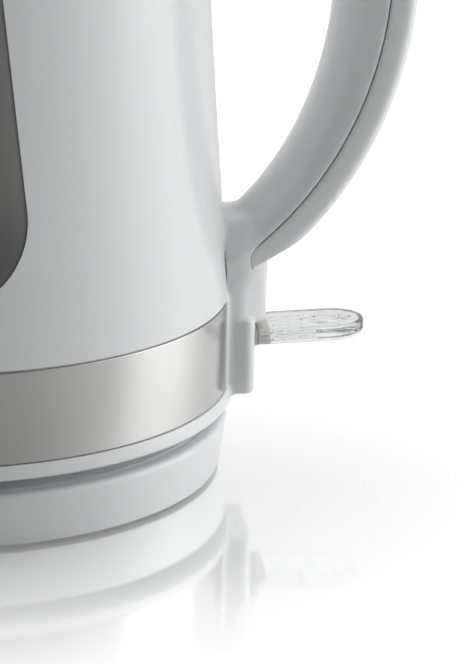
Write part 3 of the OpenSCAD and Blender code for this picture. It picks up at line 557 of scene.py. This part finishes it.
# ---------------------------------------------------------------- base
def make_base():
    wall_r = BASE_TOP_R - BASE_WALL
    under = DECK_Z - BASE_WALL
    lathe("base_top", rounded([
        (BASE_LOW_R, FOOT_H, 0.5), (BASE_TOP_R, DECK_Z, DECK_FILLET),
        (GROOVE_R + GROOVE_HALF, DECK_Z, GROOVE_EDGE),
        (GROOVE_R, DECK_Z - GROOVE_DEPTH, GROOVE_EDGE),
        (GROOVE_R - GROOVE_HALF, DECK_Z, GROOVE_EDGE),
        (DECK_HOLE_R, DECK_Z, 0.4), (DECK_HOLE_R, under, 0),
        (wall_r, under, 1.0), (BASE_LOW_R - BASE_WALL, FOOT_H, 0)]),
        "base", "white_base", ["base_shell"])


def make_lower_ring():
    ring_top, inner = BAND_Z0 - 0.05, BAND_R - 6
    floor_z, lip_z = RING_Z + RING_FLOOR, DECK_Z + 0.1
    lip_edge, chamfer, crown = 0.3, 0.5, 0.35
    lathe("lower_ring", rounded([
        (RING_HOLE_R, RING_Z, 0), (PLINTH_R[0], RING_Z, 0), (PLINTH_R[0], lip_z, lip_edge),
        (PLINTH_R[1], lip_z, lip_edge), (PLINTH_R[1], RING_Z, lip_edge),
        (RING_R - chamfer, RING_Z, 0.25), (RING_R, RING_Z + 0.55, chamfer),
        (BAND_R + crown, ring_top, crown), (inner, ring_top, 0), (inner, floor_z, 0),
        (RING_HOLE_R, floor_z, 0)], 4),
        "jug", "white_base", ["bottom_cover"])


def make_band():
    low, high, edge = BAND_Z0 + BAND_GAP, BAND_Z1 - BAND_GAP, 0.18
    lathe("band", rounded([
        (BAND_R, low, edge), (BAND_R, high, edge), (BAND_R - BAND_T, high, 0),
        (BAND_R - BAND_T, low, 0)], 4), "jug", "brushed_band", ["steel_band"])


# ---------------------------------------------------------------- jug
def support_radius(angle, circles):
    """Polar radius of the hull of weighted circle sets, from its support function."""
    reach = np.full(np.shape(angle), np.inf)
    grazing = 0.05
    for p in np.radians(np.arange(-80, 81, 1.0)):
        way = math.pi + p
        h = sum(weight * max(c * math.cos(way) + r for c, r in group) for weight, group in circles)
        cos = np.cos(angle - way)
        nearer = np.minimum(reach, h / np.maximum(cos, grazing))
        reach = np.where(cos > grazing, nearer, reach)
    return reach


def spout_foot(inset):
    """Height of the spout's lower end on a surface that lies inset inside the jug's side."""
    return SPOUT_Z[0] + inset * 3


def spout_radius(angle, z, inset):
    """How far the spout reaches from the axis at an angle and height."""
    t = np.clip((z - spout_foot(inset)) / (SPOUT_Z[1] - spout_foot(inset)), 0, 1)
    top = [(at, r - inset) for at, r in (SPOUT_TIP, SPOUT_BROW)]
    root = [(SPOUT_ROOT[0], SPOUT_ROOT[1] - inset)]
    return support_radius(angle, [(t, top), (1 - t, root)])


def jug_radius(angle, z, inset):
    """The jug's radius with its spout blended in."""
    plain = np.full_like(angle, float(side(z)) - inset)
    if z < spout_foot(inset):
        return plain
    spout = spout_radius(angle, z, inset)
    reached = (np.cos(angle) < -0.3) & np.isfinite(spout)
    spout = np.where(reached, spout, plain)
    h = np.clip(0.5 + 0.5 * (spout - plain) / SPOUT_FILLET, 0, 1)
    return np.where(reached, plain + (spout - plain) * h + SPOUT_FILLET * h * (1 - h), plain)


def make_jug():
    turns, lip_steps = 512, 8
    angle = np.arange(turns) * 2 * math.pi / turns
    rows = [(jug_radius(angle, BAND_Z1 + 0.05, 0) - 0.3, BAND_Z1 + 0.05)]
    for z in np.concatenate([[BAND_Z1 + 0.35], np.linspace(BAND_Z1 + 2, SPOUT_Z[0], 30),
                             np.linspace(SPOUT_Z[0] + 1, RIM_Z - LIP, 46)]):
        rows.append((jug_radius(angle, z, 0), z))
    top_out, top_in = jug_radius(angle, RIM_Z, 0), jug_radius(angle, RIM_Z, WALL)
    for t in np.arange(1, lip_steps) * math.pi / lip_steps:
        r = (top_out + top_in) / 2 + (top_out - top_in) / 2 * math.cos(t)
        rows.append((r, RIM_Z - LIP + LIP * math.sin(t)))
    for z in np.concatenate([np.linspace(RIM_Z - LIP, spout_foot(WALL), 40),
                             np.linspace(SPOUT_Z[0] + 4, SHELF_Z[1] + 0.1, 30)]):
        rows.append((jug_radius(angle, z, WALL), z))
    skirt = BAND_R - BAND_T - SKIRT_GAP
    for r, z in ((SHELF_R, SHELF_Z[1]), (SHELF_R, SHELF_Z[0]), (skirt - WALL, SHELF_Z[0]),
                 (skirt - WALL, BAND_Z0 + 0.1), (skirt, BAND_Z0 + 0.1), (skirt, BAND_Z1 - 0.1),
                 (skirt, BAND_Z1 + 0.05)):
        rows.append((np.full(turns, r), z))
    verts = np.stack([np.stack([r * np.cos(angle), r * np.sin(angle), np.full(turns, z)], 1)
                      for r, z in rows]).reshape(-1, 3)
    obj = piece("jug_body", verts, wrapped_faces(len(rows), turns), "jug", "white_shell",
                ["body_shell"], sharp=50)
    cut_windows(obj)


def window_shape(grow):
    """The window's two end circles, grown, and the lean of the straight sides between them."""
    (z0, r0), (z1, r1) = WINDOW_LOW, WINDOW_TOP
    r0, r1 = r0 + grow, r1 + grow
    return z0, r0, z1, r1, math.asin((r0 - r1) / (z1 - z0))


def window_half(z, grow):
    """Half width of the window at a height."""
    z0, r0, z1, r1, a = window_shape(grow)
    low_t, top_t = z0 + r0 * math.sin(a), z1 + r1 * math.sin(a)
    if z < low_t:
        return math.sqrt(max(r0 ** 2 - (z - z0) ** 2, 0))
    if z > top_t:
        return math.sqrt(max(r1 ** 2 - (z - z1) ** 2, 0))
    s = (z - low_t) / (top_t - low_t)
    return r0 * math.cos(a) * (1 - s) + r1 * math.cos(a) * s


def window_outline(grow, n=40):
    """Points around the window, in x and z."""
    z0, r0, z1, r1, a = window_shape(grow)
    low = [(r0 * math.cos(t), z0 + r0 * math.sin(t))
           for t in np.linspace(math.pi - a, 2 * math.pi + a, 2 * n)]
    up = []
    for s in np.linspace(0, 1, n + 2)[1:-1]:
        r = r0 * (1 - s) + r1 * s
        up.append((r * math.cos(a), z0 + (z1 - z0) * s + r * math.sin(a)))
    top = [(r1 * math.cos(t), z1 + r1 * math.sin(t)) for t in np.linspace(a, math.pi - a, n)]
    down = [(-x, z) for x, z in reversed(up)]
    return low + up + top + down


def cut_windows(obj):
    """Cuts both windows through the jug and keeps the jug's own smooth normals."""
    ring = window_outline(WINDOW_CUT)
    n = len(ring)
    beyond = 120
    verts = [(x, y, z) for y in (-beyond, beyond) for x, z in ring]
    faces = [tuple(range(n)), tuple(range(2 * n - 1, n - 1, -1))]
    faces += [(i, n + i, n + (i + 1) % n, (i + 1) % n) for i in range(n)]
    mesh = bpy.data.meshes.new("window_cutter")
    mesh.from_pydata([[c * MM for c in v] for v in verts], [], faces)
    cutter = bpy.data.objects.new("window_cutter", mesh)
    bpy.context.scene.collection.objects.link(cutter)
    finish_mesh(cutter, 30)
    cut = obj.modifiers.new("windows", "BOOLEAN")
    cut.operation, cut.solver, cut.object = "DIFFERENCE", "EXACT", cutter
    bpy.context.view_layer.update()
    depsgraph = bpy.context.evaluated_depsgraph_get()
    result = bpy.data.meshes.new_from_object(obj.evaluated_get(depsgraph))
    obj.modifiers.clear()
    obj.data = result
    bpy.data.objects.remove(cutter)
    smooth_side_normals(obj)


def smooth_side_normals(obj):
    """Corners of faces that lie on the turned side, clear of the spout, take its exact normal."""
    side_z0, side_z1, spout_x = BAND_Z1 + 1, SPOUT_Z[0] + 30, -40
    aligned = 0.985
    mesh = obj.data
    mesh.update()
    normals = []
    for poly in mesh.polygons:
        c = poly.center / MM
        on_side = side_z0 < c.z < side_z1 and c.x > spout_x
        for li in poly.loop_indices:
            exact = None
            if on_side:
                v = mesh.vertices[mesh.loops[li].vertex_index].co / MM
                lean = (v.z - BOW_C[1]) / BOW_R
                out = Vector((v.x, v.y, 0)).normalized() * math.sqrt(1 - lean * lean)
                out -= Vector((0, 0, lean))
                along = poly.normal.dot(out)
                if abs(along) > aligned:
                    exact = out if along > 0 else -out
            normals.append(exact)
    base = [Vector(n.vector) for n in mesh.corner_normals]
    mesh.normals_split_custom_set([tuple(b if e is None else e) for e, b in zip(normals, base)])


def make_window(name, sign, replaces):
    """A tinted pane that follows the jug's side, with a rounded edge."""
    (z0, r0), (z1, r1) = WINDOW_LOW, WINDOW_TOP
    rows, cols = 120, 24
    t = (1 - np.cos(np.linspace(0, math.pi, rows))) / 2
    zs = (z0 - r0) + t * (z1 + r1 - z0 + r0)
    front, back = [], []
    for z in zs:
        w = window_half(z, WINDOW_PANE)
        for u in np.linspace(-1, 1, cols):
            x = u * w
            inward = min(w * (1 - abs(u)), z - zs[0], zs[-1] - z)
            edge = min(1.0, inward / PANE_EDGE)
            round_off = 1 - math.sqrt(max(0.0, 1 - (1 - edge) ** 2))
            drop = PANE_SINK + PANE_EDGE_DROP * round_off
            front.append((x, sign * math.sqrt((float(side(z)) - drop) ** 2 - x * x), z))
            back.append((x, sign * math.sqrt((float(side(z)) - PANE_BACK) ** 2 - x * x), z))
    m = len(front)
    faces = []
    for i in range(rows - 1):
        here, above = i * cols, (i + 1) * cols
        for j in range(cols - 1):
            q = (here + j, here + j + 1, above + j + 1, above + j)
            faces += [q, tuple(m + v for v in reversed(q))]
        for j in (0, cols - 1):
            faces.append((here + j, above + j, m + above + j, m + here + j))
    for i in (0, rows - 1):
        here = i * cols
        for j in range(cols - 1):
            faces.append((here + j, here + j + 1, m + here + j + 1, m + here + j))
    obj = piece(name, front + back, faces, "jug", "tinted_window", replaces, sharp=60)
    bm = bmesh.new()
    bm.from_mesh(obj.data)
    bmesh.ops.remove_doubles(bm, verts=bm.verts, dist=1e-6)
    bmesh.ops.recalc_face_normals(bm, faces=bm.faces)
    bm.to_mesh(obj.data)
    bm.free()


# ---------------------------------------------------------------- handle
def body_out(x, y, z):
    """About the distance outward from the jug, its band and its lower ring."""
    reach = np.where(z > BAND_Z1, side(np.clip(z, BAND_Z1, RIM_Z)), BAND_R)
    top_r, low_r = BAND_R + 0.45, RING_R + 0.1
    ring = top_r + (low_r - top_r) * (BAND_Z0 - z) / (BAND_Z0 - RING_Z)
    return np.hypot(x, y) - np.where(z < BAND_Z0, ring, reach)


def cover_end(x, z):
    """Negative where the cover's lower end lies on the switch housing."""
    slant_x, slant_z, slant_rise = COVER_SLANT
    foot_x, foot_z, foot_rise = COVER_FOOT
    return np.maximum(slant_x + (slant_z - z) * slant_rise - x,
                      foot_z + (x - foot_x) * foot_rise - z)


def housing_field(x, y, z, near):
    """The switch housing: an upper post with a turned corner, on a shallower lower one."""
    width = HOUSING_W - NARROWING * ramp(z, *NARROW_Z)
    upper = post_field(x, y, z, HOUSING_X, width, HOUSING_STEP_Z - UPPER_START, SADDLE_Z,
                       UPPER_CORNER, UPPER_END)
    upper = both(upper, HOUSING_STEP_Z - z, STEP_EDGE)
    facet_x = FACET_X + FACET_SHIFT * ramp(z, *FACET_Z)
    facet = FACET_WAY[0] * (x - facet_x) + FACET_WAY[1] * (np.abs(y) - width)
    upper = both(upper, facet, FACET_EDGE)
    cover_seat = np.maximum(cover_end(x, z) + 2 * COVER_CLEAR, near)
    upper = np.maximum(upper, -cover_seat)
    lower = post_field(x, y, z, HOUSING_LOW_X, HOUSING_W, HOUSING_Z0, HOUSING_STEP_Z + LOWER_TOP,
                       LOWER_CORNER, LOWER_END)
    return np.minimum(upper, lower)


def frame_field(x, y, z):
    """The grip's inner half and the switch housing, with the fillets where they meet the jug."""
    near, far = -ellipse_out(x, z, SEAM), ellipse_out(x, z, INNER)
    grip = channel_field(y, near, far, GRIP_W, GRIP_SQUARE)
    grip = both(grip, -near, GRIP_EDGE)
    grip = np.maximum(grip, GRIP_Z0 - z)
    whole = blend_min(grip, housing_field(x, y, z, near), GRIP_FILLET)
    # a skin over the jug gives the fillets something to run out on
    outside = body_out(x, y, z)
    skin = np.maximum(np.maximum(np.abs(y) - SKIN_HALF, z - SKIN_TOP), HOUSING_Z0 + 0.4 - z)
    fillet = (JUG_FILLET + LOW_FILLET * (1 - ramp(z, *LOW_FILLET_Z))
              + TOP_FILLET * ramp(z, *TOP_FILLET_Z))
    whole = blend_min(whole, np.maximum(outside + SKIN_OUT, skin), fillet)
    behind_root = ramp(z, *ROOT_GAP_Z0) * (1 - ramp(z, *ROOT_GAP_Z1))
    gap = ROOT_GAP * behind_root + TOP_GAP * ramp(z, *TOP_GAP_Z) - SUNK
    whole = np.maximum(whole, gap - outside)
    slot_w = LEVER_W + SLOT_CLEAR
    slot = slab_field(x, y, z, (SLOT_X[0], -slot_w, SLOT_Z0), (SLOT_X[1], slot_w, HOUSING_STEP_Z),
                      SLOT_EDGE)
    return np.maximum(whole, -slot)


def cover_field(x, y, z):
    """The grip's outer half, open at its top for the release button."""
    near = ellipse_out(x, z, SEAM) - SEAM_GAP
    far = -ellipse_out(x, z, OUTER)
    grip = channel_field(y, near, far, GRIP_W, COVER_SQUARE)
    grip = both(grip, -near, COVER_EDGE)
    grip = both(grip, cover_end(x, z) + COVER_CLEAR, 0.4)
    grip = np.maximum(grip, COVER_CLEAR - body_out(x, y, z))
    button = slab_field(x, y, z, BUTTON_LOW, BUTTON_HIGH, 0.6)
    return np.maximum(np.maximum(grip, -button), GRIP_Z0 - z)


def lever_core_field(x, y, z):
    """The opaque root that shows through the clear blade."""
    low = (LEVER_AT[0] + CORE_X[0], -CORE_Y, CORE_Z[0])
    high = (LEVER_AT[0] + CORE_X[1], CORE_Y, CORE_Z[1])
    return slab_field(x, y, z, low, high, 0.8)


def lever_field(x, y, z):
    """The clear blade: a round-ended bar with a finger dish, dots, flutes under it and notches."""
    dx, dz = x - LEVER_AT[0], z - LEVER_AT[1]
    u = dx * math.cos(LEVER_TILT) + dz * math.sin(LEVER_TILT)
    w = dz * math.cos(LEVER_TILT) - dx * math.sin(LEVER_TILT)
    plan = np.hypot(np.maximum(u - (LEVER_TIP - LEVER_W), 0), y) - LEVER_W
    blade = np.maximum(both(plan, w - LEVER_T, 0.7), both(plan, -w - LEVER_T, 2.0))
    blade = np.maximum(blade, LEVER_ROOT - u)
    pad = np.hypot(u - PAD_U, y)
    blade = np.maximum(blade, -both(pad - PAD_R, LEVER_T - PAD_DEPTH - w, 0.3))
    raised = np.hypot(pad - PAD_RING_R, w - LEVER_T) - PAD_RING_WIRE
    for bu, by in BUMPS:
        lift = w - LEVER_T + BUMP_SINK
        raised = np.minimum(raised, np.sqrt((u - bu) ** 2 + (y - by) ** 2 + lift ** 2) - BUMP_R)
    blade = np.minimum(blade, raised)
    flutes = FAR
    for rib in RIBS_Y:
        flute = np.hypot(y - rib, w + LEVER_T) - RIB_R
        flutes = np.minimum(flutes, np.maximum(flute, np.maximum(u - RIBS_U[1], RIBS_U[0] - u)))
    across = np.maximum(np.abs(u - NOTCH_U[0]) - NOTCH_U[1], np.abs(w - NOTCH_W[0]) - NOTCH_W[1])
    notches = np.maximum(across, NOTCH_Y - np.abs(y))
    return np.maximum(np.maximum(blade, -flutes), -notches)


def make_net(name, field, lo, hi, step, body, slot, replaces):
    points, quads = surface_net(field, lo, hi, step)
    piece(name, points, quads, body, slot, replaces, sharp=48)


def make_handle():
    """Each net's two corners lie outside its form; the number after them is the grid's step."""
    make_net("handle_grip", frame_field, (60, -20, 17), (124, 20, 236), HANDLE_GRID,
             "jug", "white_handle", ["handle_frame", "switch_housing"])
    make_net("grip_cover", cover_field, (60, -14, 48), (128, 14, 238), HANDLE_GRID,
             "jug", "white_handle", ["handle_cover"])
    make_net("lever_blade", lever_field, (84, -10, 30), (116, 10, 40), BLADE_GRID,
             "lever", "clear_lever", ["switch_lever"])
    make_net("lever_core", lever_core_field, (84, -10, 30), (92, 10, 38), CORE_GRID,
             "lever", "ivory_plastic", [])


# ---------------------------------------------------------------- light, floor, background
AIM = (0.03, 0, 0.1)                 # metres; where the lamps point
ROOM_WAY = (0.2, 0.95, -0.25)        # away from the camera, a little right and down
ROOM_EDGE = 0.12                     # along that way the room is at its brightest
MIRROR_R, MIRROR_SHARE_R = (0.078, 0.165), (0.8, 0.04)      # the mirror image fades outward
MIRROR_Y, MIRROR_SHARE_Y = (-0.03, 0.06), (1.0, 0.2)        # and toward the back
FLOOR_HALF = 6.0                     # metres


def soft_light(name, at, size, power):
    lamp = bpy.data.lights.new(name, "AREA")
    lamp.shape = "RECTANGLE"
    lamp.size, lamp.size_y = size
    lamp.energy = power
    obj = bpy.data.objects.new(name, lamp)
    bpy.context.scene.collection.objects.link(obj)
    obj.location = at
    obj.rotation_euler = (Vector(AIM) - Vector(at)).to_track_quat("-Z", "Y").to_euler()
    return obj


def make_lights():
    soft_light("key", at=(1.3, 0.1, 0.6), size=(0.9, 1.3), power=7)
    fill = soft_light("fill", at=(0.9, -1.0, 0.6), size=(0.5, 1.0), power=1.0)
    fill.visible_glossy = False


def make_world():
    """A pale room, dark on the camera's side; the camera itself sees plain white."""
    world = bpy.data.worlds.new("studio")
    bpy.context.scene.world = world
    world.use_nodes = True
    tree = world.node_tree
    tree.nodes.clear()
    path = add(tree, "ShaderNodeLightPath").outputs
    seen = calc(tree, "MAXIMUM", path["Is Camera Ray"], path["Is Transmission Ray"])
    where = add(tree, "ShaderNodeTexCoord").outputs["Generated"]
    toward = add(tree, "ShaderNodeVectorMath", {0: where, 1: ROOM_WAY},
                 operation="DOT_PRODUCT").outputs["Value"]
    level = map_range(tree, toward, (-0.82, ROOM_EDGE), (0.0, 1.3))
    back = map_range(tree, toward, (ROOM_EDGE, 1.0), (1.0, 0.5))
    strength = calc(tree, "MULTIPLY", level, back)
    room = shader(tree, "ShaderNodeBackground", Color=grey(1), Strength=strength)
    white = shader(tree, "ShaderNodeBackground", Color=grey(1), Strength=1.0)
    add(tree, "ShaderNodeOutputWorld", {"Surface": mix_shaders(tree, seen, room, white)})


def make_floor():
    """A table top that the camera sees white and glossy, and other rays see dull."""
    mesh = bpy.data.meshes.new("table_top")
    s = FLOOR_HALF
    mesh.from_pydata([(-s, -s, 0), (s, -s, 0), (s, s, 0), (-s, s, 0)], [], [(0, 1, 2, 3)])
    floor = bpy.data.objects.new("table_top", mesh)
    bpy.context.scene.collection.objects.link(floor)
    mat = bpy.data.materials.new("table_top")
    mat.use_nodes = True
    tree = mat.node_tree
    tree.nodes.clear()
    where = add(tree, "ShaderNodeNewGeometry").outputs["Position"]
    far = add(tree, "ShaderNodeVectorMath", {0: where}, operation="LENGTH").outputs["Value"]
    y = add(tree, "ShaderNodeSeparateXYZ", {0: where}).outputs["Y"]
    shown = calc(tree, "MULTIPLY", map_range(tree, far, MIRROR_R, MIRROR_SHARE_R),
                 map_range(tree, y, MIRROR_Y, MIRROR_SHARE_Y))
    dull = shader(tree, "ShaderNodeBsdfDiffuse", Color=grey(0.75))
    shine = shader(tree, "ShaderNodeBsdfGlossy", Color=grey(1), Roughness=0.5)
    plain = mix_shaders(tree, 0.55, dull, shine)
    glow = shader(tree, "ShaderNodeEmission", Color=grey(1), Strength=0.955)
    shade = shader(tree, "ShaderNodeBsdfDiffuse", Color=grey(0.14))
    matte = add(tree, "ShaderNodeAddShader", {0: glow, 1: shade}).outputs[0]
    mirror = shader(tree, "ShaderNodeBsdfGlossy", Color=grey(1), Roughness=0.07)
    pale = mix_shaders(tree, shown, matte, mirror)
    camera_ray = add(tree, "ShaderNodeLightPath").outputs["Is Camera Ray"]
    add(tree, "ShaderNodeOutputMaterial", {"Surface": mix_shaders(tree, camera_ray, plain, pale)})
    mesh.materials.append(mat)


make_camera()
dress_cad()
make_base()
make_lower_ring()
make_band()
make_jug()
make_window("window_left", -1, ["water_window_left"])
make_window("window_right", 1, ["water_window_right"])
make_handle()
make_world()
make_floor()
make_lights()
bpy.context.scene.view_settings.view_transform = "Standard"
